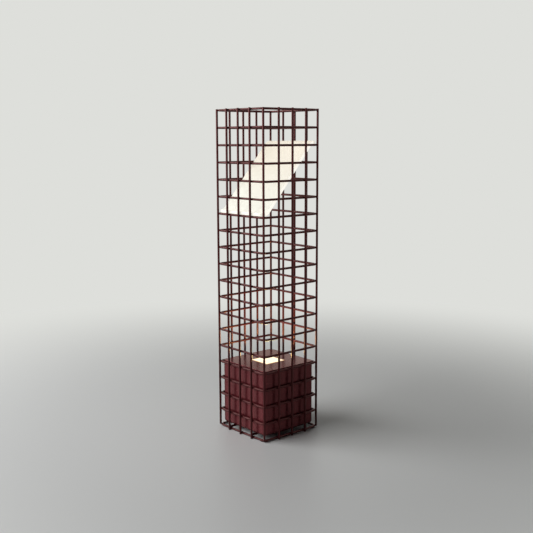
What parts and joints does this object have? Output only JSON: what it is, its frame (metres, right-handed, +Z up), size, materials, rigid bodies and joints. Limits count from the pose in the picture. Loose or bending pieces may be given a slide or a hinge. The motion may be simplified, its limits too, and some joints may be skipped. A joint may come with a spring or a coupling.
{
  "type": "desk lamp",
  "caption": "Tall square cage of welded wire with a light box in its foot that shines up on a bent opal sheet hung aslant across the cage.",
  "frame": {"origin": "on the table plane under the cage's axis, level with the upright wires' lower ends", "axes": "+Z up along the cage; -Y is the face with the sheet's low end, +Y the back with its high end, the button and the socket"},
  "size_m": [0.1354, 0.1354, 0.575],
  "materials": {
    "cage_paint": "satin dark burgundy powder coat",
    "box_paint": "satin dark burgundy powder coat with a fine grain",
    "button_paint": "satin dark burgundy powder coat",
    "opal_acrylic": "satin opal acrylic, lit through",
    "window_diffuser": "frosted acrylic, lit from below",
    "white_plastic": "gloss white moulding",
    "white_board": "white solder mask over aluminium",
    "phosphor": "yellow phosphor gel",
    "bare_aluminium": "bare extruded aluminium",
    "zinc_steel": "bright zinc-plated steel",
    "black_plastic": "black moulding, fine texture",
    "cell_cans": "plain blue shrink sleeve on a metal can",
    "green_board": "green solder mask on glass-fibre board",
    "lead_sleeve": "flexible insulated wire"
  },
  "bodies": {
    "lamp": {"hoop_01": "cage_paint", "hoop_02": "cage_paint", "hoop_03": "cage_paint", "hoop_04": "cage_paint", "hoop_05": "cage_paint", "hoop_06": "cage_paint", "hoop_07": "cage_paint", "hoop_08": "cage_paint", "hoop_09": "cage_paint", "hoop_10": "cage_paint", "hoop_11": "cage_paint", "hoop_12": "cage_paint", "hoop_13": "cage_paint", "hoop_14": "cage_paint", "hoop_15": "cage_paint", "hoop_16": "cage_paint", "hoop_17": "cage_paint", "hoop_18": "cage_paint", "hoop_19": "cage_paint", "hoop_20": "cage_paint", "corner_post_front_left": "cage_paint", "corner_post_front_right": "cage_paint", "corner_post_back_left": "cage_paint", "corner_post_back_right": "cage_paint", "front_post_left": "cage_paint", "front_post_middle": "cage_paint", "front_post_right": "cage_paint", "back_post_left": "cage_paint", "back_post_middle": "cage_paint", "back_post_right": "cage_paint", "left_post_front": "cage_paint", "left_post_middle": "cage_paint", "left_post_back": "cage_paint", "right_post_front": "cage_paint", "right_post_middle": "cage_paint", "right_post_back": "cage_paint", "cradle_wires": "cage_paint", "cradle_straps": "zinc_steel", "cradle_screws": "zinc_steel", "light_box_tub": "box_paint", "top_plate": "box_paint", "light_window": "window_diffuser", "light_cup": "white_plastic", "led_board": "white_board", "led_emitter": "phosphor", "heat_sink": "bare_aluminium", "head_screws": "zinc_steel", "lid_posts": "zinc_steel", "base_screws": "zinc_steel", "battery_tray": "black_plastic", "battery_cells": "cell_cans", "control_board": "green_board", "board_standoffs": "zinc_steel", "board_screws": "zinc_steel", "charge_port": "zinc_steel", "button_switch": "black_plastic", "led_leads": "lead_sleeve", "battery_leads": "lead_sleeve"},
    "sheet": {"opal_sheet": "opal_acrylic"},
    "button": {"dimmer_button": "button_paint"}
  },
  "joints": [
    {"name": "sheet_lift", "type": "slide", "parent": "lamp", "child": "sheet", "axis": [0, 0, 1], "range_m": [0, 0.02]},
    {"name": "button_push", "type": "slide", "parent": "lamp", "child": "button", "axis": [0, -1, 0], "range_m": [0, 0.0007], "stiffness_N_per_m": 1500}
  ]
}
